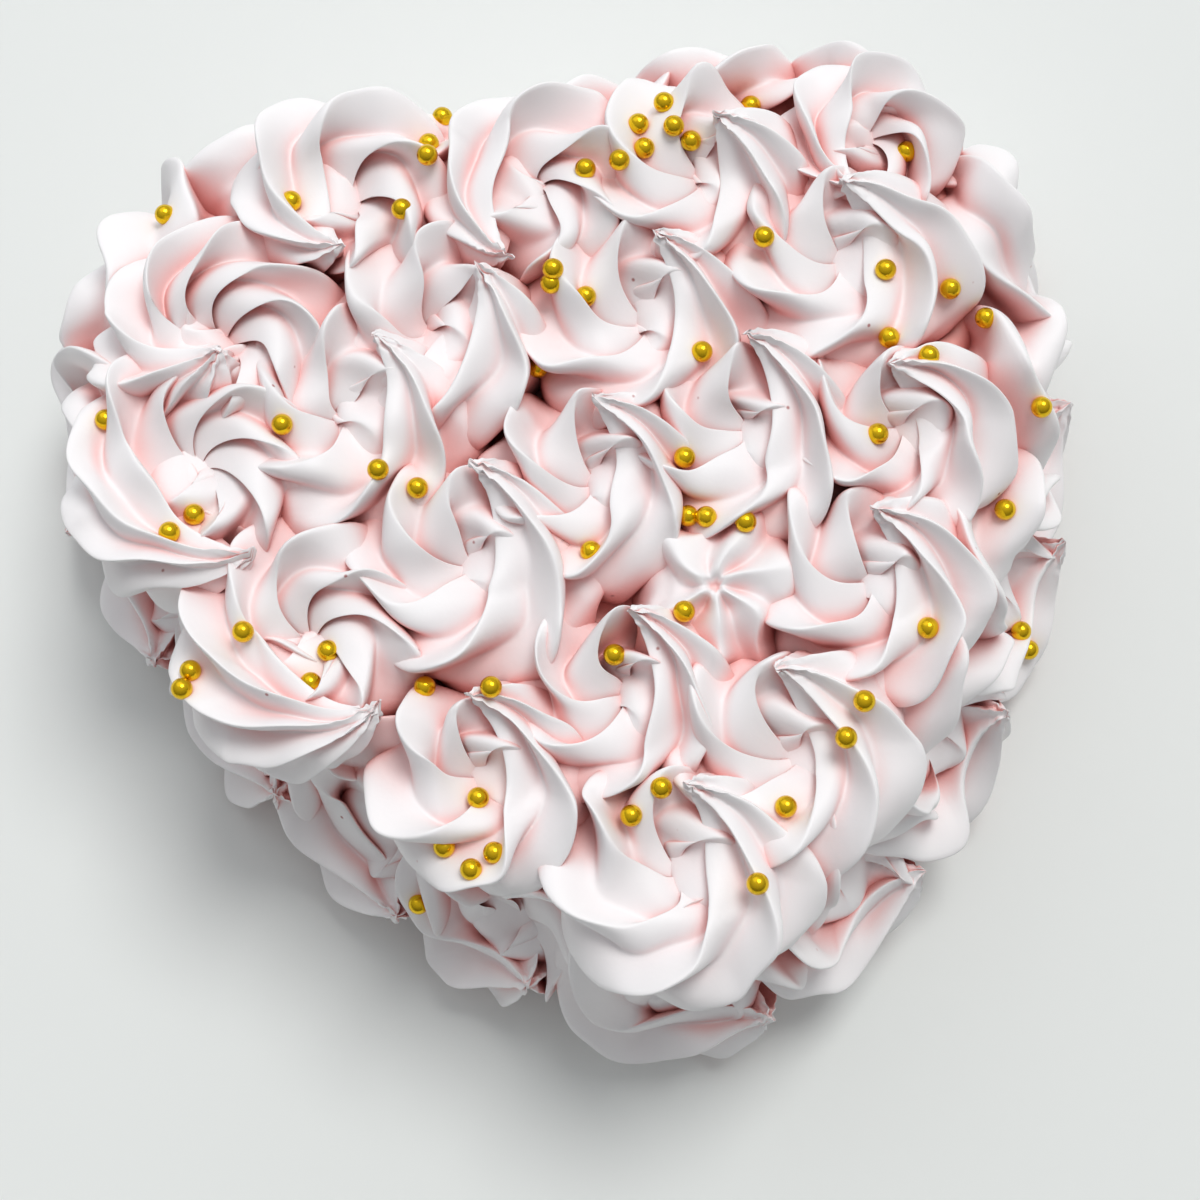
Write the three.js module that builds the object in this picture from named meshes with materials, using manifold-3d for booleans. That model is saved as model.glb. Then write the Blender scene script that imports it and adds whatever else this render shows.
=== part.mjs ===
// A heart-shaped cake, covered all over with piped rosettes of whipped cream
// and strewn with sugar pearls. Millimetres, +Z up.
// The heart's point is towards -Y and its cleft towards +Y.
import * as THREE from 'three';
import { mergeVertices } from 'three/addons/utils/BufferGeometryUtils.js';
import Module from 'manifold-3d';

const { degToRad } = THREE.MathUtils;
const wasm = await Module();
wasm.setup();

// Sponge: two round lobes and a rounded point, with soft curves between them
const spongeHeight = 50;
const lobeX = 42;
const lobeY = 38;
const lobeRadius = 44;
const lobeStart = degToRad(100);
const lobeEnd = degToRad(-13);
const cleftY = 77;
const cleftPull = 20;
const lobePull = 12;
const pointY = -59;
const pointRadius = 26;
const pointTurn = degToRad(48);
const flankPull = 48;
const outlineSegments = 10;

// Cream: every rosette keeps this much clear of its neighbours and of the sponge
const gap = 0.3;
const topHeight = 20;
const grooveDepth = 6.5;
const ribTwist = degToRad(85);
const spread = 1.2;
const edgeBlend = 16;
const crownPower = 0.48;
const rimScallop = 0.12;

// Across one rib: its sharp crest, the foot of its steep side, and the slope to the next crest
const ribSteps = [
  { turn: 0, level: 1 },
  { turn: 0.2, level: 0 },
  { turn: 0.6, level: 0.35 },
];

// From the tip to the rim, as angles on the crown's rounded profile
const topRings = [11, 24, 38, 52, 66, 79, 90].map(degToRad);
const sideRings = [14, 30, 47, 64, 78, 90].map(degToRad);
const phaseStep = degToRad(137.5);

// Pearls, half sunk in the cream
const pearlRadius = 2.1;
const pearlRise = 0.6;
const pearlLimit = 0.82;

// Rosettes on top: middle, radius, place of the tip from the middle, ribs,
// and the pearls that lie on each, also measured from its middle
const topRosettes = [
  { at: [-34, 73], radius: 19, tip: [-2, -8], ribs: 7, pearls: [[-10, 0], [11, -7], [14, 6], [15, 1]] },
  { at: [4, 66], radius: 18.5, tip: [-6, -12], ribs: 7, pearls: [[9, 0]] },
  { at: [35, 59], radius: 20, tip: [5, 9], ribs: 7,
    pearls: [[-3, 17], [-9, 14], [-3, 11], [-9, 8], [-14, 6], [1, 8], [12, 11]] },
  { at: [59, 34], radius: 20.5, tip: [5, 10], ribs: 7, pearls: [[-13, 9], [7, -3], [5, -15]] },
  { at: [69, 61], radius: 15, tip: [7, 6], ribs: 7, height: 17, pearls: [[7, -6]] },
  { at: [-64, 48], radius: 21, tip: [-2, -3], ribs: 8, pearls: [] },
  { at: [-23, 39], radius: 20, tip: [12, 7], ribs: 7, pearls: [] },
  { at: [17, 31.5], radius: 20.5, tip: [6, 13], ribs: 7,
    pearls: [[-12, 14], [-13, 11], [-9, 8], [-16, -3], [11, -8]] },
  { at: [-43, 25], radius: 21, tip: [9, 4], ribs: 7, pearls: [[-11, 3], [4, -10], [10, -14]] },
  { at: [31.5, 3], radius: 19, tip: [3, 14], ribs: 7, pearls: [[-12, 1], [-12, -8], [-9, -10], [-3, -13]] },
  { at: [62, -2], radius: 18, tip: [0.5, 9], ribs: 7, pearls: [[8, 12], [-5, 2]] },
  { at: [-75, 25], radius: 22, tip: [8, -16], ribs: 8, pearls: [[-13, 11], [-1, -11], [-6, -13]] },
  { at: [-61.5, -14], radius: 21, tip: [11, -12], ribs: 8, pearls: [[-9, 3], [6, -4], [2, -9]] },
  { at: [-25, -10], radius: 20.5, tip: [6, 7], ribs: 7, pearls: [[-10, -15]] },
  { at: [1.5, 2], radius: 18.5, tip: [9, 5], ribs: 7, pearls: [[-3, -12]] },
  { at: [48.5, -29.5], radius: 19, tip: [6, 10], ribs: 7, pearls: [[8, -10]] },
  { at: [20.5, -22], radius: 12, tip: [-1, -1], ribs: 6, height: 13, pearls: [[-6, -3]] },
  { at: [-31, -50.5], radius: 18.5, tip: [9, 1], ribs: 7,
    pearls: [[4, 15], [-2, -1], [-10, -9], [-1, -12], [-6, -14]] },
  { at: [-2.5, -42], radius: 18, tip: [5, 14], ribs: 7, pearls: [[0, 10]] },
  { at: [25.5, -58], radius: 20.5, tip: [6, 5], ribs: 7, pearls: [[16, 7], [11, 2], [-2, -9]] },
  { at: [1.5, -75.5], radius: 21, tip: [5, 11], ribs: 7, pearls: [[-1, 16], [-7, 13], [12, -4]] },
];

// Rosettes round the side, evenly spaced along the sponge's edge; the tip and the pearls
// are given to the right and up as seen from outside
const sideCount = 17;
const sideStart = 17;
const sideRadius = 25;
const sideHeight = 21.5;
const sideFoot = 1;
const sideMiddle = 27;
const sideTip = [7, 2];
const sideTipSway = 3;
const sidePearls = new Map([
  [3, [[-9, 17]]],
  [4, [[11, 16], [-4, 14]]],
  [5, [[7, 12]]],
  [6, [[11, 6], [8, -3]]],
  [10, [[11, 8]]],
  [11, [[-8, 8], [-5, 15]]],
  [14, [[-10, 14]]],
  [16, [[-3, 16]]],
]);

const creamMaterial = new THREE.MeshStandardMaterial({ color: 0xf7e6e4, roughness: 0.55, metalness: 0 });
const spongeMaterial = new THREE.MeshStandardMaterial({ color: 0x5e1714, roughness: 0.9, metalness: 0 });

function heartShape() {
  const lobe = (angle) => [lobeX + lobeRadius * Math.cos(angle), lobeY + lobeRadius * Math.sin(angle)];
  const [startX, startY] = lobe(lobeStart);
  const [endX, endY] = lobe(lobeEnd);
  const pointX = pointRadius * Math.cos(pointTurn);
  const pointTop = pointY - pointRadius * Math.sin(pointTurn);
  // Handles of the curves, each along the arc that the curve joins
  const cleftHandle = [startX - lobePull * Math.sin(lobeStart), startY + lobePull * Math.cos(lobeStart)];
  const flankHandle = [endX + flankPull * Math.sin(lobeEnd), endY - flankPull * Math.cos(lobeEnd)];
  const pointHandle = [pointX + flankPull * Math.sin(pointTurn), pointTop + flankPull * Math.cos(pointTurn)];

  const shape = new THREE.Shape();
  shape.moveTo(0, cleftY);
  shape.bezierCurveTo(cleftPull, cleftY, ...cleftHandle, startX, startY);
  shape.absarc(lobeX, lobeY, lobeRadius, lobeStart, lobeEnd, true);
  shape.bezierCurveTo(...flankHandle, ...pointHandle, pointX, pointTop);
  shape.absarc(0, pointY, pointRadius, -pointTurn, pointTurn - Math.PI, true);
  shape.bezierCurveTo(-pointHandle[0], pointHandle[1], -flankHandle[0], flankHandle[1], -endX, endY);
  shape.absarc(-lobeX, lobeY, lobeRadius, Math.PI - lobeEnd, Math.PI - lobeStart, true);
  shape.bezierCurveTo(-cleftHandle[0], cleftHandle[1], -cleftPull, cleftY, 0, cleftY);
  return shape;
}

// How far the cream reaches from the tip in one direction, at one height over its base:
// a soft minimum of the rosette's own round edge and the walls towards its neighbours
function reachFromTip(rosette, walls, angle, lift) {
  const [tipX, tipY] = rosette.tip;
  const heading = new THREE.Vector3(Math.cos(angle), Math.sin(angle), 0);
  const start = new THREE.Vector3(tipX, tipY, lift);
  const forward = tipX * heading.x + tipY * heading.y;
  const sideways = (spread * rosette.radius) ** 2 - tipX ** 2 - tipY ** 2;
  const distances = [Math.sqrt(sideways + forward ** 2) - forward];
  for (const wall of walls) {
    const closing = wall.normal.dot(heading);
    if (closing > 0) {
      distances.push(-wall.distanceToPoint(start) / closing);
    }
  }
  const sum = distances.reduce((total, distance) => total + distance ** -edgeBlend, 0);
  return sum ** (-1 / edgeBlend);
}

// One rosette on the plane z = 0. Its ribs run from the tip to the rim and turn clockwise,
// with a sharp crest, a steep side and a long hollow slope up to the next crest.
function rosetteGeometry(rosette, walls) {
  const { ribs, tip, height, phase, rings } = rosette;
  const columns = ribs * ribSteps.length;
  const positions = [tip[0], tip[1], height];
  for (const ring of rings) {
    const relief = Math.sin(ring) ** 0.6 * Math.cos(ring) ** 0.4;
    for (let column = 0; column < columns; column += 1) {
      const { turn, level } = ribSteps[column % ribSteps.length];
      const rib = Math.floor(column / ribSteps.length) + turn;
      const angle = phase + (2 * Math.PI * rib) / ribs - ribTwist * (ring / (Math.PI / 2));
      const crown = height * Math.max(Math.cos(ring), 0) ** crownPower;
      const lift = Math.max(crown - grooveDepth * (1 - level) * relief, 0);
      const scallop = 1 - rimScallop * (1 - level) * Math.sin(ring) ** 2;
      const radius = Math.sin(ring) * scallop * reachFromTip(rosette, walls, angle, lift);
      positions.push(tip[0] + radius * Math.cos(angle), tip[1] + radius * Math.sin(angle), lift);
    }
  }
  positions.push(tip[0], tip[1], 0);

  const at = (ring, column) => 1 + ring * columns + (column % columns);
  const lastRing = rings.length - 1;
  const bottom = positions.length / 3 - 1;
  const indices = [];
  for (let column = 0; column < columns; column += 1) {
    indices.push(0, at(0, column), at(0, column + 1));
    for (let ring = 0; ring < lastRing; ring += 1) {
      const [inner, innerNext] = [at(ring, column), at(ring, column + 1)];
      const [outer, outerNext] = [at(ring + 1, column), at(ring + 1, column + 1)];
      indices.push(inner, outer, outerNext, inner, outerNext, innerNext);
    }
    indices.push(bottom, at(lastRing, column + 1), at(lastRing, column));
  }
  const geometry = new THREE.BufferGeometry();
  geometry.setAttribute('position', new THREE.Float32BufferAttribute(positions, 3));
  geometry.setIndex(indices);
  return geometry;
}

function toSolid(geometry) {
  const bare = geometry.clone();
  bare.deleteAttribute('normal');
  bare.deleteAttribute('uv');
  const merged = mergeVertices(bare);
  return new wasm.Manifold(new wasm.Mesh({
    numProp: 3,
    vertProperties: new Float32Array(merged.attributes.position.array),
    triVerts: new Uint32Array(merged.index.array),
  }));
}

function toGeometry(solid) {
  const mesh = solid.getMesh();
  const geometry = new THREE.BufferGeometry();
  geometry.setAttribute('position', new THREE.BufferAttribute(mesh.vertProperties, 3));
  geometry.setIndex(new THREE.BufferAttribute(mesh.triVerts, 1));
  return geometry;
}

// The middle of a pearl that lies on the cream, moved in if it is too near the rim or a wall
function pearlCentre(body, rosette, [x, y], walls) {
  const centre = new THREE.Vector3(x - rosette.tip[0], y - rosette.tip[1], 0);
  const reach = reachFromTip(rosette, walls, Math.atan2(centre.y, centre.x), rosette.height / 2);
  centre.clampLength(0, pearlLimit * reach);
  centre.x += rosette.tip[0];
  centre.y += rosette.tip[1];
  for (const wall of walls) {
    const excess = wall.distanceToPoint(centre) + pearlRadius + gap;
    if (excess > 0) {
      centre.addScaledVector(wall.normal, -excess);
    }
  }
  const ray = new THREE.Raycaster(centre.clone().setZ(100), new THREE.Vector3(0, 0, -1));
  const [hit] = ray.intersectObject(body);
  return centre.setZ(hit.point.z + pearlRise);
}

function rosetteMesh(name, rosette, worldWalls, placement) {
  const toLocal = placement.clone().invert();
  const walls = worldWalls.map((wall) => wall.clone().applyMatrix4(toLocal));
  let geometry = rosetteGeometry(rosette, walls);
  if (rosette.pearls.length > 0) {
    const body = new THREE.Mesh(geometry);
    let solid = toSolid(geometry);
    for (const spot of rosette.pearls) {
      const pearl = new THREE.IcosahedronGeometry(pearlRadius, 0);
      pearl.translate(...pearlCentre(body, rosette, spot, walls));
      solid = solid.add(toSolid(pearl));
    }
    geometry = toGeometry(solid);
  }
  const mesh = new THREE.Mesh(geometry, creamMaterial.clone());
  mesh.name = name;
  mesh.applyMatrix4(placement);
  return mesh;
}

// A wall with its inside behind it, half a gap short of the line between two rosettes
function wallAt(normal, point) {
  const wall = new THREE.Plane().setFromNormalAndCoplanarPoint(normal, point);
  wall.constant += gap / 2;
  return wall;
}

// The seam between top and side rosettes slopes up and out from the sponge's upper edge
function seamWall(place, side) {
  const normal = new THREE.Vector3(place.out.x, place.out.y, -1).normalize().multiplyScalar(side);
  return wallAt(normal, place.point.clone().setZ(spongeHeight));
}

// Walls of a rosette on top: the seam, and an upright wall towards every neighbour
// that its round edge would meet, nearer to the smaller one
function topWalls(rosette, places) {
  const middle = new THREE.Vector3(...rosette.at, 0);
  const walls = places
    .filter((place) => place.point.distanceTo(middle) < 2 * rosette.radius)
    .map((place) => seamWall(place, 1));
  for (const other of topRosettes) {
    const away = new THREE.Vector3(...other.at, 0).sub(middle);
    const distance = away.length();
    if (distance === 0 || distance > spread * (rosette.radius + other.radius) + gap) {
      continue;
    }
    const share = (distance ** 2 + rosette.radius ** 2 - other.radius ** 2) / (2 * distance);
    const normal = away.normalize();
    walls.push(wallAt(normal, middle.clone().addScaledVector(normal, share)));
  }
  return walls;
}

function topRosetteMesh(rosette, index, places) {
  const placement = new THREE.Matrix4().makeTranslation(...rosette.at, spongeHeight + gap);
  const whole = { height: topHeight, phase: index * phaseStep, rings: topRings, ...rosette };
  const name = `top_rosette_${String(index + 1).padStart(2, '0')}`;
  return rosetteMesh(name, whole, topWalls(rosette, places), placement);
}

// Where each side rosette stands: a point on the sponge's edge, the way along it and the way out
function sidePlaces(shape) {
  const length = shape.getLength();
  return Array.from({ length: sideCount }, (_, index) => {
    const portion = (sideStart + (index * length) / sideCount) / length;
    const tangent = shape.getTangent(portion);
    const point = shape.getPoint(portion);
    return {
      point: new THREE.Vector3(point.x, point.y, 0),
      tangent: new THREE.Vector3(tangent.x, tangent.y, 0),
      out: new THREE.Vector3(-tangent.y, tangent.x, 0),
    };
  });
}

// The sponge's edge may bulge past the plane that touches it, beside the cleft
function bulgePast(place, outline) {
  const bulges = outline
    .map((point) => new THREE.Vector3(point.x, point.y, 0).sub(place.point))
    .filter((offset) => Math.abs(offset.dot(place.tangent)) < sideRadius)
    .map((offset) => offset.dot(place.out));
  return Math.max(0, ...bulges);
}

function sideWalls(places, index) {
  const here = places[index];
  const walls = [
    seamWall(here, -1),
    wallAt(new THREE.Vector3(0, 0, -1), new THREE.Vector3(0, 0, sideFoot)),
  ];
  for (const step of [-1, 1]) {
    const other = places[(index + step + sideCount) % sideCount];
    const normal = here.tangent.clone().add(other.tangent).normalize().multiplyScalar(step);
    walls.push(wallAt(normal, here.point.clone().lerp(other.point, 0.5)));
  }
  return walls;
}

function sideRosetteMesh(places, index, outline) {
  const place = places[index];
  const right = place.tangent.clone().negate();
  const up = new THREE.Vector3(0, 0, 1);
  const origin = place.point.clone().addScaledVector(place.out, gap + bulgePast(place, outline));
  origin.z = sideMiddle;
  const placement = new THREE.Matrix4().makeBasis(right, up, place.out).setPosition(origin);
  const phase = index * phaseStep;
  const rosette = {
    radius: sideRadius,
    height: sideHeight,
    tip: [sideTip[0] + sideTipSway * Math.sin(phase), sideTip[1] + sideTipSway * Math.cos(phase)],
    ribs: 7,
    rings: sideRings,
    phase,
    pearls: sidePearls.get(index) ?? [],
  };
  const name = `side_rosette_${String(index + 1).padStart(2, '0')}`;
  return rosetteMesh(name, rosette, sideWalls(places, index), placement);
}

function spongeMesh(shape) {
  const geometry = new THREE.ExtrudeGeometry(shape, {
    depth: spongeHeight,
    bevelEnabled: false,
    curveSegments: outlineSegments,
  });
  const mesh = new THREE.Mesh(geometry, spongeMaterial);
  mesh.name = 'sponge';
  return mesh;
}

const shape = heartShape();
const outline = shape.getSpacedPoints(400);
const places = sidePlaces(shape);
const cake = new THREE.Group();
cake.add(spongeMesh(shape));
topRosettes.forEach((rosette, index) => cake.add(topRosetteMesh(rosette, index, places)));
places.forEach((_, index) => cake.add(sideRosetteMesh(places, index, outline)));

// Stand the cake over the origin
const middle = new THREE.Box3().setFromObject(cake).getCenter(new THREE.Vector3());
cake.position.set(-middle.x, -middle.y, 0);

export default cake;
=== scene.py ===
import bpy
import numpy as np
from mathutils import Matrix, Vector
from mathutils.bvhtree import BVHTree


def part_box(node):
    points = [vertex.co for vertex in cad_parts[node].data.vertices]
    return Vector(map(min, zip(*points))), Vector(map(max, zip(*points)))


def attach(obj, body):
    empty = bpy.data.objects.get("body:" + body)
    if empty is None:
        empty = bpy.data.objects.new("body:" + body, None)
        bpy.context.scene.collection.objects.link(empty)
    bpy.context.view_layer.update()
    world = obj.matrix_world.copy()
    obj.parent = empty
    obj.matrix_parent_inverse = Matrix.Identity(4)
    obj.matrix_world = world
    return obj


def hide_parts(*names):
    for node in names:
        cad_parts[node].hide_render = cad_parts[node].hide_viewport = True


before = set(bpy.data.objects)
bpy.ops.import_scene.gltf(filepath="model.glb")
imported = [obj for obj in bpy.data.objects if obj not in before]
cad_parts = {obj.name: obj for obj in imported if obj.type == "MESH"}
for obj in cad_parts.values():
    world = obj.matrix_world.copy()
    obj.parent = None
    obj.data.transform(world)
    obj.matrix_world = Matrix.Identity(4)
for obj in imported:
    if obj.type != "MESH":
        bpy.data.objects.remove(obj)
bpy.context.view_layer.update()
mm = 0.001


# Nodes, colours and meshes

# Linear red, green, blue and alpha of an sRGB hex colour
def linear(hexColour):
    channels = np.array([int(hexColour[k:k + 2], 16) for k in (0, 2, 4)]) / 255
    low = channels / 12.92
    high = ((channels + 0.055) / 1.055) ** 2.4
    return (*np.where(channels <= 0.04045, low, high), 1.0)


# A node with its own settings. An input takes a value, or the output socket that feeds it,
# and a colour ramp takes its stops, pairs of position and hex colour.
def addNode(tree, kind, settings=None, inputs=None, stops=()):
    node = tree.nodes.new(kind)
    for name, value in (settings or {}).items():
        setattr(node, name, value)
    for name, value in (inputs or {}).items():
        if isinstance(value, bpy.types.NodeSocket):
            tree.links.new(value, node.inputs[name])
        else:
            node.inputs[name].default_value = value
    for index, (position, colour) in enumerate(stops):
        elements = node.color_ramp.elements
        element = elements[index] if index < 2 else elements.new(position)
        element.position = position
        element.color = linear(colour)
    return node


# In a Mix node set to colour, input 0 is the factor, 6 and 7 are the colours and output 2
# is the result; they share their names with hidden sockets, so they go by number
mixFactor, mixFirst, mixSecond, mixResult = 0, 6, 7, 2


def newMaterial(name):
    material = bpy.data.materials.new(name)
    material.use_nodes = True
    material.node_tree.nodes.clear()
    return material, material.node_tree


def addObject(name, data):
    thing = bpy.data.objects.new(name, data)
    bpy.context.scene.collection.objects.link(thing)
    return thing


# A mesh object from points in millimetres. Its hollows say for each point how deep in a valley it
# lies, from 0 on a crest to 1, which the cream's colour reads to paint shade into the valleys.
def makePiece(name, points, faces, material, nodes=(), hollows=None):
    mesh = bpy.data.meshes.new(name)
    mesh.from_pydata((points * mm).tolist(), [], faces)
    mesh.shade_smooth()
    if hollows is not None:
        layer = mesh.attributes.new("hollow", "FLOAT", "POINT")
        layer.data.foreach_set("value", hollows.astype(np.float32))
    mesh.materials.append(material)
    piece = addObject(name, mesh)
    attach(piece, "root")
    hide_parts(*nodes)
    return piece


# A closed skin from its first point, rows of rings and its last point: a fan of triangles
# at each end and four-sided faces from ring to ring
def closedSkin(first, rings, last):
    rows, columns = rings.shape[:2]
    here = np.arange(columns)
    after = (here + 1) % columns
    ring = 1 + np.arange(rows - 1)[:, None] * columns
    sides = [ring + here, ring + columns + here, ring + columns + after, ring + after]
    lastRing = 1 + (rows - 1) * columns
    lastPoint = lastRing + columns
    firstFan = [np.zeros_like(here), 1 + here, 1 + after]
    lastFan = [np.full_like(here, lastPoint), lastRing + after, lastRing + here]
    faces = (np.stack(firstFan, axis=-1).tolist()
             + np.stack(sides, axis=-1).reshape(-1, 4).tolist()
             + np.stack(lastFan, axis=-1).tolist())
    return np.vstack([first, rings.reshape(-1, 3), last]), faces


# Smooth unevenness about 1 high: a sum of sine waves in random directions, each between
# 0.7 and 1.6 wavelengths long
def waves(points, wavelength, seed, count=14):
    random = np.random.default_rng(seed)
    directions = random.normal(size=(count, 3))
    directions /= np.linalg.norm(directions, axis=1)[:, None]
    lengths = wavelength * random.uniform(0.7, 1.6, count)
    starts = random.uniform(0, 2 * np.pi, count)
    angles = points @ (directions * (2 * np.pi / lengths)[:, None]).T + starts
    return np.sin(angles).sum(axis=-1) * np.sqrt(2 / count)


# 0 before the start and 1 after the end, eased at both: 3 times the square of the share of
# the way, less 2 times its cube
def smooth(values, start, end):
    share = np.clip((values - start) / (end - start), 0, 1)
    return share * share * (3 - 2 * share)


# The same directions, 1 long
def unit(vectors):
    return vectors / np.maximum(np.linalg.norm(vectors, axis=-1, keepdims=True), 1e-9)


# The direction at an angle in the plane
def turned(angle):
    return np.array([np.cos(np.radians(angle)), np.sin(np.radians(angle))])


# Materials

# Whipped cream: nearly white on the crests, smooth and hardly shiny. Its colour holds painted shade:
# where walls close a place in, it is painted pinker and darker, for light that has gone from wall to
# wall through pink cream.
cream = {
    # Hollow and its colour: on the crests, down the valleys, painted a little pinker there as shade,
    # and on the coat underneath
    "tint": [(0.05, "f4f3f4"), (0.5, "f3eff0"), (1.0, "eccfca")],
    # Openness and the painted shade that the tint is multiplied by: in crevices, in hollows, in the
    # open
    "blush": [(0.0, "a85c55"), (0.13, "ffb7b0"), (0.62, "ffffff")],
    "shadeReach": 14,     # how far away a wall still closes a place in
    "blushSamples": 6,
    "roughness": 0.5,
    "ior": 1.45,
    "grain": 1.2,         # size of its fine unevenness
    "grainDetail": 3.0,
    "grainHeight": 0.05,
    "grainStrength": 0.5,
    # the pit colour is painted shade: burst air bubbles are drawn as darker dots, with no hollow in
    # the surface
    "pit": "b98482",      # burst air bubbles: small dark dots, far apart
    "pitSpacing": 11,
    "pitSize": 0.35,
    "pitFade": (0.6, 1.4),  # shares of its size between which a dot's edge fades
}


def creamMaterial():
    material, tree = newMaterial("whippedCream")
    place = addNode(tree, "ShaderNodeTexCoord").outputs["Object"]
    hollow = addNode(tree, "ShaderNodeAttribute", {"attribute_name": "hollow"})
    # Painted shade: the valleys are tinted pinker the deeper they lie
    tint = addNode(tree, "ShaderNodeValToRGB", inputs={"Fac": hollow.outputs["Fac"]},
                   stops=cream["tint"])
    # Painted shade: ambient occlusion makes the colour darker and pinker where walls are close by
    openness = addNode(tree, "ShaderNodeAmbientOcclusion", {"samples": cream["blushSamples"]},
                       {"Distance": cream["shadeReach"] * mm})
    blush = addNode(tree, "ShaderNodeValToRGB", inputs={"Fac": openness.outputs["AO"]},
                    stops=cream["blush"])
    shadedColour = addNode(tree, "ShaderNodeMix", {"data_type": "RGBA", "blend_type": "MULTIPLY"}, {
        mixFactor: 1.0,
        mixFirst: tint.outputs["Color"],
        mixSecond: blush.outputs["Color"],
    })
    grain = addNode(tree, "ShaderNodeTexNoise", inputs={
        "Vector": place,
        "Scale": 1 / (cream["grain"] * mm),
        "Detail": cream["grainDetail"],
    })
    bump = addNode(tree, "ShaderNodeBump", inputs={
        "Height": grain.outputs["Fac"],
        "Distance": cream["grainHeight"] * mm,
        "Strength": cream["grainStrength"],
    })
    # Each dot is painted shade for a burst air bubble. A dot lies round each cell's point, where the
    # distance from it, as a share of the spacing, is less than the dot's size
    cells = addNode(tree, "ShaderNodeTexVoronoi", inputs={
        "Vector": place,
        "Scale": 1 / (cream["pitSpacing"] * mm),
    })
    size = cream["pitSize"] / cream["pitSpacing"]
    fadeStart, fadeEnd = cream["pitFade"]
    pit = addNode(tree, "ShaderNodeMapRange", inputs={
        "Value": cells.outputs["Distance"],
        "From Min": fadeStart * size,
        "From Max": fadeEnd * size,
        "To Min": 1.0,
        "To Max": 0.0,
    })
    pitted = addNode(tree, "ShaderNodeMix", {"data_type": "RGBA"}, {
        mixFactor: pit.outputs["Result"],
        mixFirst: shadedColour.outputs[mixResult],
        mixSecond: linear(cream["pit"]),
    })
    skin = addNode(tree, "ShaderNodeBsdfPrincipled", inputs={
        "Base Color": pitted.outputs[mixResult],
        "Roughness": cream["roughness"],
        "IOR": cream["ior"],
        "Normal": bump.outputs["Normal"],
    })
    addNode(tree, "ShaderNodeOutputMaterial", inputs={"Surface": skin.outputs["BSDF"]})
    return material


# Sponge: a dark red crumb, quite dull
sponge = {
    "height": 50,
    "edgeRadius": 3,
    "uneven": 0.35,       # how deep its surface is torn
    "wavelength": 4,
    "seed": 7,
    "tint": [(0.35, "3a0d0b"), (0.65, "8a2a22")],
    "crumb": 2.2,         # size of a crumb
    "crumbDetail": 6.0,
    "crumbRoughness": 0.65,
    "crumbHeight": 0.6,
    "crumbStrength": 0.8,
    "roughness": 0.9,
}


def spongeMaterial():
    material, tree = newMaterial("redSpongeCrumb")
    place = addNode(tree, "ShaderNodeTexCoord").outputs["Object"]
    crumb = addNode(tree, "ShaderNodeTexNoise", inputs={
        "Vector": place,
        "Scale": 1 / (sponge["crumb"] * mm),
        "Detail": sponge["crumbDetail"],
        "Roughness": sponge["crumbRoughness"],
    })
    tint = addNode(tree, "ShaderNodeValToRGB", inputs={"Fac": crumb.outputs["Fac"]},
                   stops=sponge["tint"])
    bump = addNode(tree, "ShaderNodeBump", inputs={
        "Height": crumb.outputs["Fac"],
        "Distance": sponge["crumbHeight"] * mm,
        "Strength": sponge["crumbStrength"],
    })
    skin = addNode(tree, "ShaderNodeBsdfPrincipled", inputs={
        "Base Color": tint.outputs["Color"],
        "Roughness": sponge["roughness"],
        "Normal": bump.outputs["Normal"],
    })
    addNode(tree, "ShaderNodeOutputMaterial", inputs={"Surface": skin.outputs["BSDF"]})
    return material


# Pearls: sugar with a shiny coat of gold, a little dented
pearl = {
    "radius": 2.1,
    "rise": 0.9,          # of its middle above the cream, along the line of sight
    "rings": 20,
    "columns": 32,
    "gold": "ecc21a",
    "metallic": 0.85,
    "roughness": 0.22,
    "dent": 0.8,          # size of a dent
    "dentDetail": 2.0,
    "dentHeight": 0.03,
    "dentStrength": 0.5,
}


def pearlMaterial():
    material, tree = newMaterial("goldPearlCoat")
    place = addNode(tree, "ShaderNodeTexCoord").outputs["Object"]
    dents = addNode(tree, "ShaderNodeTexNoise", inputs={
        "Vector": place,
        "Scale": 1 / (pearl["dent"] * mm),
        "Detail": pearl["dentDetail"],
    })
    bump = addNode(tree, "ShaderNodeBump", inputs={
        "Height": dents.outputs["Fac"],
        "Distance": pearl["dentHeight"] * mm,
        "Strength": pearl["dentStrength"],
    })
    skin = addNode(tree, "ShaderNodeBsdfPrincipled", inputs={
        "Base Color": linear(pearl["gold"]),
        "Metallic": pearl["metallic"],
        "Roughness": pearl["roughness"],
        "Normal": bump.outputs["Normal"],
    })
    addNode(tree, "ShaderNodeOutputMaterial", inputs={"Surface": skin.outputs["BSDF"]})
    return material


# The heart's outline, clockwise from the cleft, as the sponge's plan

heart = {
    "lobeX": 42,          # middle of a lobe's arc
    "lobeY": 38,
    "lobeRadius": 44,
    "lobeStart": 100,     # directions in which its arc starts, near the cleft, and ends
    "lobeEnd": -13,
    "pointY": -59,        # middle of the arc round the point
    "pointRadius": 26,
    "pointTurn": 48,      # how far below sideways that arc starts
    "cleftY": 77,         # bottom of the cleft
    "cleftPull": 20,      # lengths of the curves' handles: at the cleft,
    "lobePull": 12,       # where a lobe starts,
    "flankPull": 48,      # and at both ends of a flank
    "middleY": 5,         # where the rings of its top and its base close
}


# Points of a cubic curve between two ends, with a handle at each
def bezier(start, startHandle, endHandle, end, count=60):
    t = np.linspace(0, 1, count)[:, None]
    return ((1 - t) ** 3 * start + 3 * (1 - t) ** 2 * t * startHandle
            + 3 * (1 - t) * t ** 2 * endHandle + t ** 3 * end)


# Points of a circle from one direction to another
def arc(middle, radius, start, end, count=60):
    angle = np.radians(np.linspace(start, end, count))[:, None]
    return middle + radius * np.hstack([np.cos(angle), np.sin(angle)])


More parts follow.
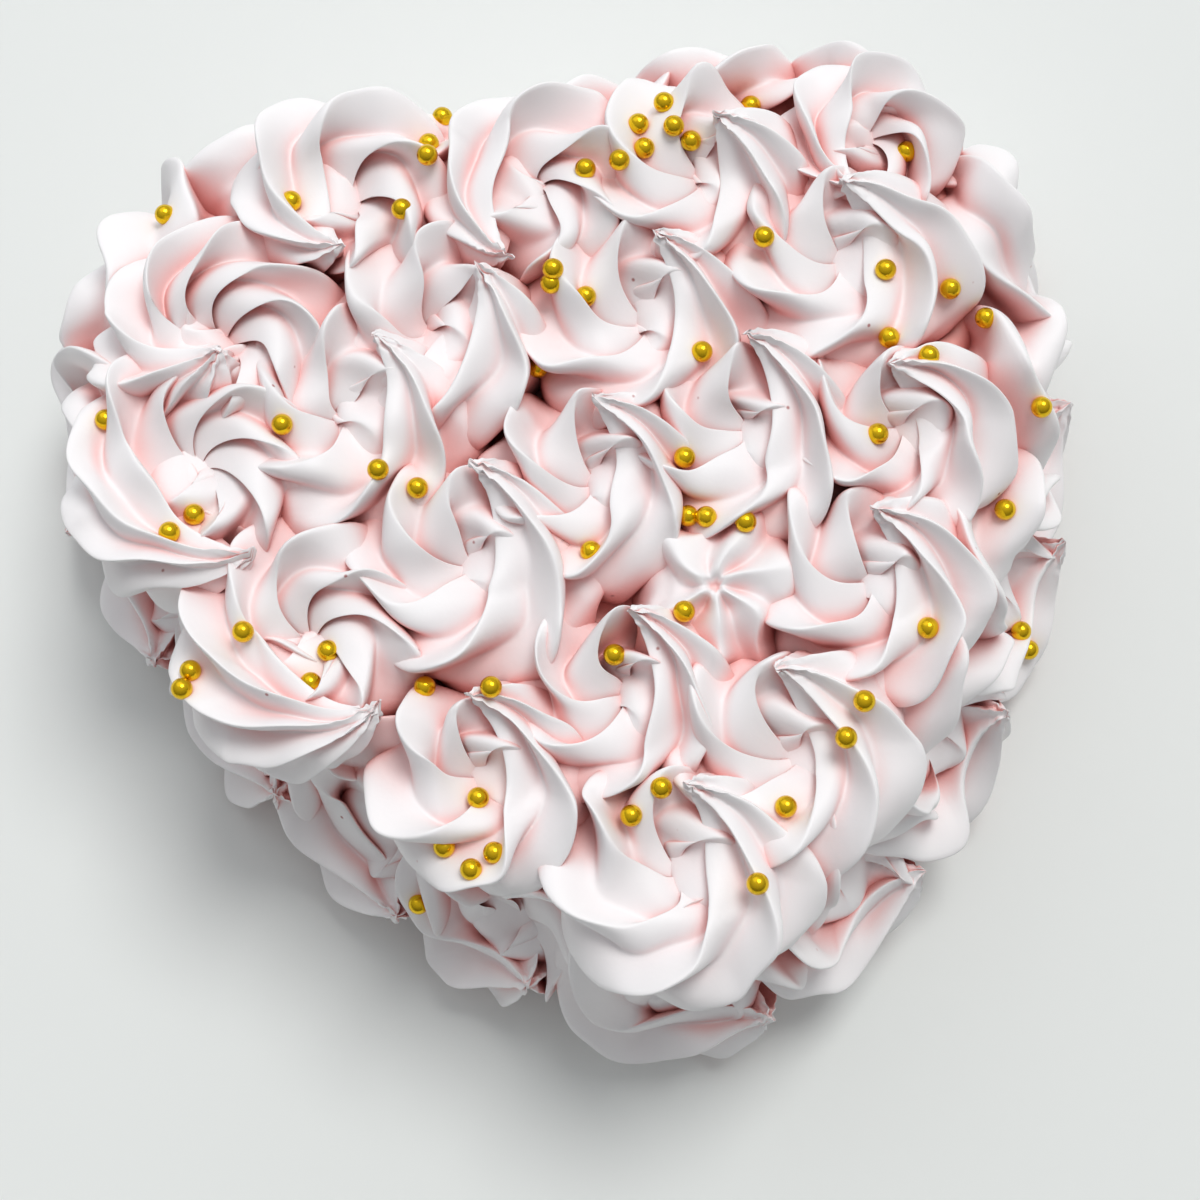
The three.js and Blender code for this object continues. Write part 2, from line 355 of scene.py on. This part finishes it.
# Half of the heart and its mirror image, then evenly spaced points along the whole,
# and its length
def heartOutline(count):
    h = heart
    lobe = np.array([h["lobeX"], h["lobeY"]])
    point = np.array([0, h["pointY"]])
    cleft = np.array([0, h["cleftY"]])
    lobeStart = lobe + h["lobeRadius"] * turned(h["lobeStart"])
    lobeEnd = lobe + h["lobeRadius"] * turned(h["lobeEnd"])
    pointStart = point + h["pointRadius"] * turned(-h["pointTurn"])
    half = np.vstack([
        bezier(cleft, cleft + [h["cleftPull"], 0],
               lobeStart + h["lobePull"] * turned(h["lobeStart"] + 90), lobeStart),
        arc(lobe, h["lobeRadius"], h["lobeStart"], h["lobeEnd"]),
        bezier(lobeEnd, lobeEnd + h["flankPull"] * turned(h["lobeEnd"] - 90),
               pointStart + h["flankPull"] * turned(90 - h["pointTurn"]), pointStart),
        arc(point, h["pointRadius"], -h["pointTurn"], -90),
    ])
    whole = np.vstack([half, half[::-1] * [-1, 1]])
    steps = np.linalg.norm(np.diff(whole, axis=0), axis=1)
    along = np.concatenate([[0], np.cumsum(steps)])
    wanted = np.linspace(0, along[-1], count, endpoint=False)
    outline = np.stack([np.interp(wanted, along, whole[:, k]) for k in (0, 1)], axis=-1)
    return outline, along[-1]


# Direction of the outline at each point, from one neighbour to the other
def tangentsOf(outline):
    return unit(np.roll(outline, -1, axis=0) - np.roll(outline, 1, axis=0))


# Where the heart stands in the frame: the sponge's box gives its middle and its point
spongeLow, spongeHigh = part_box("sponge")
heartShift = np.array([
    (spongeLow[0] + spongeHigh[0]) / 2 / mm,
    spongeLow[1] / mm - heart["pointY"] + heart["pointRadius"],
    0,
])


# One rosette

rosetteForm = {
    "widths": (0.88, 1.14),  # of its valleys against each other, at random
    "valleySteps": 10,    # columns down one side of a valley; as many go up the other side
    "columnPower": 1.4,   # above 1 they are closer together near the crests
    "rows": 124,          # slices from the peak back to the first cream
    "rowPower": 1.2,      # above 1 they are closer together near the peak
    "firstRow": 0.002,    # share of the way at which the slices begin
    "cusp": 1.9,          # how hollow the sides of a crest are; 1 is straight
    "edge": 0.09,         # how far a crest is rounded, as a share of half a valley
    "groove": 7.5,        # depth of the valleys between crests
    "rimGroove": 0.5,     # share of it that is left under the rim
    "rim": (-0.1, 0.6),   # between which levels of a slice, -1 to 1, it grows to the whole
    "ring": 0.5,          # radius of the nozzle's circle, as a share of the rosette's
    "turn": 405,          # how far round the nozzle goes
    "begin": 110,         # over how much of that it comes from the middle to the circle
    "fadeIn": 40,         # over how much of it the first cream grows to full thickness
    "leave": 90,          # over how much of it the nozzle leaves the circle for the peak
    "taper": 85,          # and over how much of it the cream thins out
    "taperPower": 1.3,    # 1 thins it evenly
    "climb": 1.3,         # how far the peak stands above the rest
    "climbTurn": 130,     # and over how much of the turn it rises
    "sunk": 11,           # how far the first cream lies below it
    "plainFrom": 0.6,     # share of its way down at which the first cream has lost its valleys
    "leastThick": 0.02,   # of the first cream, before its root is taken
    "hollowGain": 1.5,    # thin cream counts as less hollow: its thickness times this, up to 1
    "uneven": 0.7,
    "unevenWave": 17,
    "crinkle": 0.28,      # height of the crinkles where the cream tore off
    "crinkleWave": 1.8,
    "crinkleTurn": 16,    # how far round from the peak they fade
}


# Across one valley, from a crest down and up to the next: the share of its width,
# and the level, 1 on a crest and 0 at the bottom. The distance from the crest is rounded off
# near it as a hyperbola is, and the level is what is left of it to the power of the cusp.
def valleySection(form):
    share = (np.arange(form["valleySteps"]) / form["valleySteps"]) ** form["columnPower"] / 2
    share = np.concatenate([share, [0.5], 1 - share[:0:-1]])
    edge = form["edge"]
    away = (np.hypot(1 - np.abs(1 - 2 * share), edge) - edge) / (np.hypot(1, edge) - edge)
    return share, (1 - away) ** form["cusp"]


# Angles and levels round the nozzle's star: its valleys side by side, at random a little
# wider or narrower, the first crest on the bearing
def starSection(form, crests, bearing, seed):
    share, level = valleySection(form)
    widths = np.random.default_rng(seed).uniform(*form["widths"], crests)
    edges = np.concatenate([[0], np.cumsum(widths)]) * 2 * np.pi / widths.sum()
    angles = (edges[:-1, None] + np.diff(edges)[:, None] * share).ravel()
    return np.radians(bearing) + angles[None, :], np.tile(level, crests)[None, :]


# Points, faces and hollows of a rosette piped on the plane z = 0. The nozzle goes anticlockwise
# round a circle, without turning, and leaves it for the peak. Each slice of cream is the
# nozzle's star, tilted so that its trailing side is on top.
def rosette(radius, peak, height, crests, bearing, seed, **changes):
    form = {**rosetteForm, **changes}
    star, level = starSection(form, crests, bearing, seed)

    # Path of the star's middle, by how many degrees the nozzle is short of its end
    turn = form["turn"]
    slices = np.linspace(form["firstRow"], 1, form["rows"]) ** form["rowPower"]
    back = (turn * slices)[:, None]
    begun = smooth(back, turn - form["begin"], turn)
    leaving = 1 - smooth(back, 0, form["leave"])
    ring = form["ring"] * radius
    fromMiddle = ring * (1 - begun) + (np.hypot(*peak) - ring) * leaving
    around = np.arctan2(peak[1], peak[0]) - np.radians(back)
    path = np.stack([fromMiddle * np.cos(around), fromMiddle * np.sin(around)], axis=-1)
    travel = -np.gradient(path, axis=0)
    heading = np.arctan2(travel[..., 1], travel[..., 0])

    # A slice: trailing is 1 on its upper, trailing side and -1 on its leading side. Its
    # thickness falls off as a power towards the peak and as a root towards the first cream.
    thickness = 1 - (1 - np.clip(back / form["taper"], 0, 1)) ** form["taperPower"]
    grown = np.clip((turn - back) / form["fadeIn"], form["leastThick"], 1)
    thickness = thickness * np.sqrt(grown)
    half = (radius - ring) * thickness
    trailing = -np.cos(heading - star)
    share = form["rimGroove"] + (1 - form["rimGroove"]) * smooth(trailing, *form["rim"])
    groove = form["groove"] * share
    groove = groove * (1 - smooth(begun, 0, form["plainFrom"]))
    full = 1 - groove / (radius - ring) * (1 - level)
    top = height + form["climb"] * (1 - smooth(back, 0, form["climbTurn"])) - form["sunk"] * begun
    rise = height / 2 * thickness
    points = np.stack([
        path[..., 0] + half * full * np.cos(star),
        path[..., 1] + half * full * np.sin(star),
        top - rise + rise * full * trailing,
    ], axis=-1)

    # Unevenness all over, and a crinkled peak where the cream tore off
    crinkle = form["crinkle"] * np.exp(-(back / form["crinkleTurn"]) ** 2)
    for axis in range(3):
        uneven = waves(points, form["unevenWave"], seed + 20 + axis)
        points[..., axis] += form["uneven"] * thickness * uneven
        points[..., axis] += crinkle * waves(points, form["crinkleWave"], seed + 3 + axis)

    allPoints, faces = closedSkin(points[0].mean(axis=0), points, points[-1].mean(axis=0))
    hollows = ((1 - level) * np.minimum(thickness * form["hollowGain"], 1)).ravel() / 2
    return allPoints, faces, np.concatenate([[0], hollows, [0.5]])


# The small star between the rosettes
droppedForm = {
    "widths": (0.7, 1.3),  # of its valleys against each other, at random
    "valleySteps": 14,
    "columnPower": 1.4,
    "rows": 60,
    "rowPower": 0.8,      # below 1 they are closer together near the rim
    "firstRow": 0.01,
    "flat": 0.5,          # power of the height's curve; a lower one is flatter on top
    "cusp": 1.5,
    "edge": 0.25,
    "groove": 0.2,        # how far the valleys cut into the rim, as a share of the radius
    "furrow": 3.2,        # how deep they are on top
    "furrowReach": (0.5, 6),  # from the middle: where they begin, and where they are full
    "dimple": 4.5,        # where the nozzle came away
    "dimpleRadius": 1.3,
    "twist": 24,          # how far the middle is turned against the rim
    "lobes": 0.2,         # how much its arms differ in length
    "uneven": 1.5,
    "unevenWave": 14,
}


# Points, faces and hollows of a star on the plane z = 0, laid by a nozzle that only presses
# down and comes away. The dome's radius goes as the cosine and its height as a power of the
# sine of one angle, the nozzle's star cuts the valleys, and a small dimple is left on top.
# Its arms' lengths vary as the sine of twice the angle round it, times that angle's cosine.
def droppedStar(radius, height, crests, bearing, seed):
    form = droppedForm
    star, level = starSection(form, crests, bearing, seed)
    rings = np.linspace(form["firstRow"], 1, form["rows"]) ** form["rowPower"]
    tilt = np.radians(90 - 90 * rings)[:, None]
    out = np.cos(tilt)
    reach = radius * (1 + form["lobes"] * np.sin(2 * star + 1) * np.cos(star))
    full = 1 - form["groove"] * (1 - level)
    turn = star + np.radians(form["twist"]) * (1 - out)
    top = height * np.sin(tilt) ** form["flat"]
    furrow = form["furrow"] * (1 - level) * smooth(out * radius, *form["furrowReach"])
    top = top - furrow * top / height
    top = top - form["dimple"] * np.exp(-(out * radius / form["dimpleRadius"]) ** 2)
    points = np.stack([
        out * reach * full * np.cos(turn),
        out * reach * full * np.sin(turn),
        top,
    ], axis=-1)
    for axis in range(3):
        points[..., axis] += form["uneven"] * out * waves(points, form["unevenWave"], seed + 20 + axis)
    allPoints, faces = closedSkin(points[0].mean(axis=0), points, points[-1].mean(axis=0))
    hollows = np.broadcast_to((1 - level) / 2, points.shape[:2]).ravel()
    return allPoints, faces, np.concatenate([[0.5], hollows, [0.5]])


# Rosettes on top, from the back to the point: middle, radius, and the peak's place from the middle
topRosettes = [
    {"at": (-34, 73), "radius": 19, "peak": (-1.3, -12.6)},
    {"at": (4, 66), "radius": 18.5, "peak": (-7, -15.5)},
    {"at": (35, 59), "radius": 20, "peak": (4.7, 7.7)},
    {"at": (59, 34), "radius": 20.5, "peak": (1.6, 12.7)},
    {"at": (69, 61), "radius": 15, "peak": (-3, -12), "height": 17},
    {"at": (-64, 48), "radius": 21, "peak": (0.5, -4.6), "crests": 8},
    {"at": (-23, 39), "radius": 20, "peak": (10, 8.6)},
    {"at": (17, 31.5), "radius": 20.5, "peak": (5.3, 13.5)},
    {"at": (-43, 25), "radius": 21, "peak": (7.9, 13.3)},
    {"at": (31.5, 3), "radius": 19, "peak": (3.5, 17.5)},
    {"at": (62, -2), "radius": 18, "peak": (-0.9, 11.1)},
    {"at": (-75, 25), "radius": 22, "peak": (9.4, -19), "crests": 8},
    {"at": (-61.5, -14), "radius": 21, "peak": (13.5, -15), "crests": 8},
    {"at": (-25, -10), "radius": 20.5, "peak": (3.5, 17.3)},
    {"at": (1.5, 2), "radius": 18.5, "peak": (2.5, 13.2)},
    {"at": (48.5, -29.5), "radius": 19, "peak": (2.3, 11.8)},
    {"at": (19.6, -23), "radius": 15.5, "peak": (0, 0), "height": 18, "dropped": True},
    {"at": (-31, -50.5), "radius": 18.5, "peak": (0.3, 14.7)},
    {"at": (-2.5, -42), "radius": 18, "peak": (4, 15.2)},
    {"at": (25.5, -58), "radius": 20.5, "peak": (0.8, 14.5)},
    {"at": (1.5, -75.5), "radius": 21, "peak": (3.2, 14.5)},
]
topDefaults = {
    "crests": 6,
    "bearing": 38,        # of the first crest
    "height": 20,
    "seed": 100,          # of the first; the next ones' are 10 apart
    "dropped": False,     # whether it is a star that was only pressed down
    "growth": 1.27,       # how much further a rosette reaches under its neighbours
    "shift": 0.14,        # how far its middle moves towards its peak for that, as a share
    "give": 4.5,          # how deep it dives under a neighbour past their shared border
    "dive": 8,            # over how much of the way past it
    "over": 1.5,          # how far a later one lies over that border
    "far": 1.4,           # times both radii: a rosette further off is no neighbour
}


# A rosette dives under its neighbours: each point goes down, eased, by how far it is past
# the line through the two places where its circle crosses its neighbour's
def underNeighbours(points, index, roses):
    own = roses[index]
    for other, rose in enumerate(roses):
        way = np.array(rose["at"]) - own["at"]
        distance = np.linalg.norm(way)
        if other == index or distance > own["far"] * (own["radius"] + rose["radius"]):
            continue
        border = (distance ** 2 + own["radius"] ** 2 - rose["radius"] ** 2) / (2 * distance)
        border += own["over"] if index > other else -own["over"]
        past = (points[:, :2] - own["at"]) @ (way / distance) - border
        points[:, 2] -= own["give"] * smooth(past, 0, own["dive"])
    return points


# Each is piped flat, moved to its place, pushed under its neighbours and set on the sponge
def makeTopRosettes(material):
    pieces = []
    roses = [{**topDefaults, **laid} for laid in topRosettes]
    for index, rose in enumerate(roses):
        name = f"{index + 1:02d}"
        shape = {
            "radius": rose["radius"] * rose["growth"],
            "height": rose["height"],
            "crests": rose["crests"],
            "bearing": rose["bearing"],
            "seed": rose["seed"] + 10 * index,
        }
        if rose["dropped"]:
            points, faces, hollows = droppedStar(**shape)
        else:
            points, faces, hollows = rosette(peak=rose["peak"], **shape)
        middle = np.array(rose["at"]) + rose["shift"] * np.array(rose["peak"])
        points = underNeighbours(points + [*middle, 0], index, roses)
        points = points + [0, 0, sponge["height"]] + heartShift
        pieces.append(makePiece(f"topRosette{name}", points, faces, material,
                                [f"top_rosette_{name}"], hollows))
    return pieces


# Rosettes round the side, evenly spaced along the sponge's edge, clockwise from the cleft.
# The height is how far each stands out from the wall.
sideRosettes = [
    {"height": 16},
    {"height": 15},
    {"height": 17},
    {"height": 21.5},
    {"height": 26},
    {"height": 27, "lean": 14},
    {"height": 28, "lean": 16},
    {"height": 26, "lean": 18},
    {"height": 21.5, "lean": 22, "groove": 9},
    {"height": 21, "lean": 26, "groove": 9.5},
    {"height": 21, "lean": 26, "groove": 9.5},
    {"height": 21, "lean": 26, "groove": 9.5},
    {"height": 22.5, "lean": 24, "groove": 9.5},
    {"height": 25.5, "lean": 14, "groove": 9},
    {"height": 25},
    {"height": 22.5},
    {"height": 17},
]
sideDefaults = {
    "radius": 25,
    "growth": 1.12,       # how much further a rosette reaches over its neighbours
    "tall": 1.3,          # how much taller than wide it is
    "lean": 8,            # how far it leans back
    "groove": 8.2,        # its valleys stay deep under the rim, which is what shows from above
    "rimGroove": 0.8,
    "crests": 6,
    "peak": (11, -5),     # to the right and up, as seen from outside
    "peakSway": 3,        # how far from there it is, in a direction that turns with the rosette
    "seed": 500,
}
sideRow = {
    "start": 17,          # the first one's place along the edge
    "middle": 26.5,       # height of their middle
    "inset": 5,           # how far into the wall they start, so that no gap opens over its edge
    "turn": 137.5,        # of one against the last, so that none looks like its neighbour
    "outlineSteps": 2000,
}


# The place of a side rosette on the sponge's edge and its own right, up and out. It is moved
# out by as much as the wall beside it bulges past it, so that none is buried in the cleft.
def sidePlace(index, rose):
    outline, length = heartOutline(sideRow["outlineSteps"])
    along = sideRow["start"] + index * length / len(sideRosettes)
    k = int(round(along / length * len(outline))) % len(outline)
    tangent = tangentsOf(outline)[k]
    outward = np.array([-tangent[1], tangent[0]])
    offsets = outline - outline[k]
    near = np.abs(offsets @ tangent) < rose["radius"]
    bulge = max((offsets[near] @ outward).max(), 0)
    origin = np.array([*(outline[k] + outward * (bulge - sideRow["inset"])), sideRow["middle"]])
    lean = turned(rose["lean"])
    basis = np.array([
        [-tangent[0], -tangent[1], 0],
        [*(-outward * lean[1]), lean[0]],
        [*(outward * lean[0]), lean[1]],
    ])
    return origin + heartShift, basis


# Cream never goes under the cake's base: its height above the floor becomes half the sum of
# that height and the root of its square plus the softness squared
def aboveFloor(points, floor=0.5, soft=2.0):
    above = points[:, 2] - floor
    lifted = points.copy()
    lifted[:, 2] = floor + (above + np.sqrt(above ** 2 + soft ** 2)) / 2
    return lifted


# Each is piped flat, made taller and stood against the wall: its points times its own right,
# up and out
def makeSideRosettes(material):
    pieces = []
    for index, changes in enumerate(sideRosettes):
        rose = {**sideDefaults, **changes}
        name = f"{index + 1:02d}"
        bearing = sideRow["turn"] * index
        sway = rose["peakSway"] * turned(bearing)
        points, faces, hollows = rosette(
            radius=rose["radius"] * rose["growth"],
            peak=(rose["peak"][0] + sway[0], rose["peak"][1] + sway[1]),
            height=rose["height"],
            crests=rose["crests"],
            bearing=bearing,
            seed=rose["seed"] + 10 * index,
            groove=rose["groove"],
            rimGroove=rose["rimGroove"],
        )
        points[:, 1] *= rose["tall"]
        origin, basis = sidePlace(index, rose)
        points = aboveFloor(points @ basis + origin)
        pieces.append(makePiece(f"sideRosette{name}", points, faces, material,
                                [f"side_rosette_{name}"], hollows))
    return pieces


# The sponge and the coat are both the heart drawn up to a body with a rounded upper edge
body = {
    "columns": 600,
    "wallRows": 28,
    "edgeRows": 6,
    "topRows": 60,
}


# Rings round the heart, from its foot up the wall, round the upper edge as a quarter circle
# and straight in to the middle; then the way in at each column, and the middle of the top
def heartBody(height, edge):
    outline, _ = heartOutline(body["columns"])
    tangents = tangentsOf(outline)
    inward = np.stack([tangents[:, 1], -tangents[:, 0]], axis=-1)
    turn = np.radians(np.linspace(0, 90, body["edgeRows"]))
    wall = [(0, z) for z in np.linspace(0, height - edge, body["wallRows"])]
    rounded = [(edge * (1 - np.cos(a)), height - edge * (1 - np.sin(a))) for a in turn[1:]]
    rings = [np.column_stack([outline + inward * step, np.full(len(outline), z)])
             for step, z in wall + rounded]
    middle = np.array([0, heart["middleY"], height])
    rim = rings[-1]
    shares = np.linspace(0, 1, body["topRows"])[1:-1]
    rings += [rim * (1 - share) + middle * share for share in shares]
    return np.stack(rings), inward, middle


# Each point goes in and down by the size of the waves there, but the foot stays level
def makeSponge(material):
    rings, inward, middle = heartBody(sponge["height"], sponge["edgeRadius"])
    rough = sponge["uneven"] * np.abs(waves(rings, sponge["wavelength"], sponge["seed"]))
    rings[1:, :, 2] -= rough[1:]
    rings[..., :2] += inward * rough[..., None]
    points, faces = closedSkin([0, heart["middleY"], 0], rings, middle)
    return makePiece("spongeCake", points + heartShift, faces, material, ["sponge"])


# The thin coat of cream that was spread on the sponge first. Where it dips below the
# sponge's own surface, the crumb shows through.
coat = {
    "thickness": 1.4,
    "uneven": 0.7,
    "wavelength": 9,
    "seed": 21,
    "edgeRadius": 4,
    "foot": 1,            # how far above the base it ends
}


# It is spread outwards on the wall and upwards on top, and by both on the rounded edge
def makeCoat(material):
    rings, inward, middle = heartBody(sponge["height"], coat["edgeRadius"])
    spread = coat["thickness"] + coat["uneven"] * waves(rings, coat["wavelength"], coat["seed"])
    edgeStart = sponge["height"] - coat["edgeRadius"]
    lift = np.clip((rings[..., 2] - edgeStart) / coat["edgeRadius"], 0, 1)
    rings[..., 2] += spread * lift
    rings[..., :2] -= inward * (spread * (1 - lift))[..., None]
    rings[0, :, 2] = coat["foot"]
    points, faces = closedSkin([0, heart["middleY"], coat["foot"]], rings, middle)
    return makePiece("creamCoat", points + heartShift, faces, material,
                     hollows=np.ones(len(points)))


# Pearls lie where the line of sight through them meets the cream. Their lines were read off the photo,
# and each is given by its point at this height above the base.
sightHeight = 60
pearlPoints = [
    (32.2, 76.9), (48.9, 72.1), (-11.9, 84.5), (33.0, 71.6), (26.2, 73.7), (26.2, 68.4),
    (35.6, 67.7), (-15.7, 79.6), (-16.5, 77.3), (76.7, 55.3), (20.8, 67.1), (13.8, 66.9),
    (-45.2, 74.2), (-23.8, 67.3), (-70.6, 77.4), (45.1, 44.6), (3.0, 47.9), (2.0, 45.1),
    (66.8, 32.4), (78.1, 25.6), (8.1, 40.8), (83.3, 18.2), (64.1, 18.7), (27.9, 24.4),
    (70.7, 13.3), (-4.2, 28.8), (89.3, -1.8), (-89.9, 38.1), (-55.8, 29.0), (57.3, 0.3),
    (19.8, 4.3), (-39.1, 15.7), (-32.3, 10.3), (17.8, -7.2), (21.2, -8.2), (77.4, -19.9),
    (-76.2, 15.1), (28.4, -10.9), (-81.6, 12.7), (-2.0, -9.8), (12.9, -25.4), (57.4, -39.0),
    (-71.1, -10.0), (74.4, -43.6), (-55.7, -17.4), (-2.0, -30.6), (-60.2, -22.8),
    (-26.4, -31.4), (-84.8, -18.3), (-38.8, -28.5), (42.3, -50.0), (37.3, -56.0),
    (1.1, -57.5), (-33.2, -51.7), (23.2, -66.2), (-5.6, -61.4), (-41.4, -59.3),
    (-32.4, -62.5), (-37.3, -64.6), (14.7, -79.1), (-48.3, -68.8), (-82.5, -15.2),
    (74.9, -47.4),
]


# A ball: the sine and cosine of the tilt from its top give each ring's radius and height
def pearlBall():
    tilt = np.radians(np.linspace(0, 180, pearl["rings"] + 1))[1:-1, None]
    turn = np.linspace(0, 2 * np.pi, pearl["columns"], endpoint=False)[None, :]
    rings = np.stack([np.sin(tilt) * np.cos(turn), np.sin(tilt) * np.sin(turn),
                      np.broadcast_to(np.cos(tilt), (tilt.size, turn.size))], axis=-1)
    points, faces = closedSkin([0, 0, 1], rings, [0, 0, -1])
    return points * pearl["radius"], faces


# The finished cream as one surface that a line of sight can be cast on
def creamSurface(creamPieces):
    points, faces = [], []
    for piece in creamPieces:
        mesh = piece.data
        start = sum(len(block) for block in points)
        flat = np.empty(len(mesh.vertices) * 3, np.float32)
        mesh.vertices.foreach_get("co", flat)
        points.append(flat.reshape(-1, 3) / mm)
        faces += [[start + k for k in face.vertices] for face in mesh.polygons]
    return BVHTree.FromPolygons(np.vstack(points).tolist(), faces)


# A pearl's middle is where its line of sight meets the cream, moved back by the rise
def makePearls(material, creamPieces):
    surface = creamSurface(creamPieces)
    eye = np.array(view["at"])
    ball, ballFaces = pearlBall()
    blocks, faces = [], []
    for x, y in pearlPoints:
        way = unit(np.array([x, y, sightHeight]) + heartShift - eye)
        hit, _, _, _ = surface.ray_cast(Vector(eye), Vector(way))
        if hit is None:
            print("a pearl misses the cream at", x, y)
            continue
        centre = np.array(hit) - way * pearl["rise"]
        faces += [[k + len(ball) * len(blocks) for k in face] for face in ballFaces]
        blocks.append(ball + centre)
    return makePiece("goldPearls", np.vstack(blocks), faces, material)


# Camera, floor and light

view = {
    "at": (1.3, -106.1, 489.9),
    "towards": (-2.57, -6.23, 0),
    "roll": 12.5,         # the heart's top leans to the left in the picture
    "lens": 68.4,
    "sensor": 36,
    "nearest": 10,        # what is closer to the camera than this isn't drawn
}


# The camera looks along the line to its target; its right is square to that and to the
# direction that is up in the picture, seen from above
def makeCamera():
    data = bpy.data.cameras.new("camera")
    data.lens = view["lens"]
    data.sensor_width = view["sensor"]
    data.clip_start = view["nearest"] * mm
    camera = addObject("camera", data)
    at, towards = Vector(view["at"]) * mm, Vector(view["towards"]) * mm
    back = (at - towards).normalized()
    top = Vector((*turned(90 - view["roll"]), 0))
    right = top.cross(back).normalized()
    upward = back.cross(right)
    turn = Matrix((right, upward, back)).transposed().to_4x4()
    camera.matrix_world = Matrix.Translation(at) @ turn
    bpy.context.scene.camera = camera


# A pale painted floor, matt; its reach from the middle is in metres
floorPlane = {"reach": 12, "colour": "e6eae8", "roughness": 0.8}


def makeFloor():
    reach = floorPlane["reach"]
    corners = [(-reach, -reach, 0), (reach, -reach, 0), (reach, reach, 0), (-reach, reach, 0)]
    mesh = bpy.data.meshes.new("floor")
    mesh.from_pydata(corners, [], [(0, 1, 2, 3)])
    material, tree = newMaterial("paleFloor")
    skin = addNode(tree, "ShaderNodeBsdfPrincipled", inputs={
        "Base Color": linear(floorPlane["colour"]),
        "Roughness": floorPlane["roughness"],
    })
    addNode(tree, "ShaderNodeOutputMaterial", inputs={"Surface": skin.outputs["BSDF"]})
    mesh.materials.append(material)
    floor = addObject("floor", mesh)


# The key is a far light high up on the right, given by its direction; the fill is an area
# light beyond the heart's top, in metres and watts
lights = {
    "key": {"from": (0.33, 0.33, 0.88), "spread": 26, "strength": 1.66, "colour": "fffdfb"},
    "fill": {"at": (-0.2, 0.7, 0.75), "size": 0.9, "power": 1.4, "colour": "f4f8ff"},
}
lightsAim = (0, 0, 0.03)
# The room is brighter overhead and beyond the heart's top: its light grows evenly with the
# cosine of the angle from there, from where that is as low as begins
worldLight = {
    "colour": "f6f6f8",
    "towards": (0.1, 0.5, 0.86),
    "begins": -0.28,
    "dark": 0.1,
    "bright": 0.66,
}


def makeLights():
    for name, light in lights.items():
        far = "from" in light
        data = bpy.data.lights.new(name, "SUN" if far else "AREA")
        data.color = linear(light["colour"])[:3]
        if far:
            data.angle = np.radians(light["spread"])
            data.energy = light["strength"]
        else:
            data.size = light["size"]
            data.energy = light["power"]
        place = Vector(light["from"] if far else light["at"])
        lamp = addObject(name, data)
        lamp.location = place
        lamp.rotation_euler = (place - Vector(lightsAim)).to_track_quat("Z", "Y").to_euler()


def makeRoom():
    world = bpy.data.worlds.new("paleRoom")
    world.use_nodes = True
    tree = world.node_tree
    tree.nodes.clear()
    way = addNode(tree, "ShaderNodeTexCoord").outputs["Generated"]
    facing = addNode(tree, "ShaderNodeVectorMath", {"operation": "DOT_PRODUCT"},
                     {0: way, 1: worldLight["towards"]})
    strength = addNode(tree, "ShaderNodeMapRange", inputs={
        "Value": facing.outputs["Value"],
        "From Min": worldLight["begins"],
        "From Max": 1.0,
        "To Min": worldLight["dark"],
        "To Max": worldLight["bright"],
    })
    glow = addNode(tree, "ShaderNodeBackground", inputs={
        "Color": linear(worldLight["colour"]),
        "Strength": strength.outputs["Result"],
    })
    addNode(tree, "ShaderNodeOutputWorld", inputs={"Surface": glow.outputs["Background"]})
    bpy.context.scene.world = world
    bpy.context.scene.view_settings.view_transform = "Standard"


makeCamera()
makeFloor()
makeLights()
makeRoom()
print("stage: camera, floor and lights")

makeSponge(spongeMaterial())
print("stage: sponge")

whippedCream = creamMaterial()
creamPieces = makeTopRosettes(whippedCream) + makeSideRosettes(whippedCream)
creamPieces.append(makeCoat(whippedCream))
print("stage: rosettes and coat", len(creamPieces))

makePearls(pearlMaterial(), creamPieces)
print("stage: pearls")
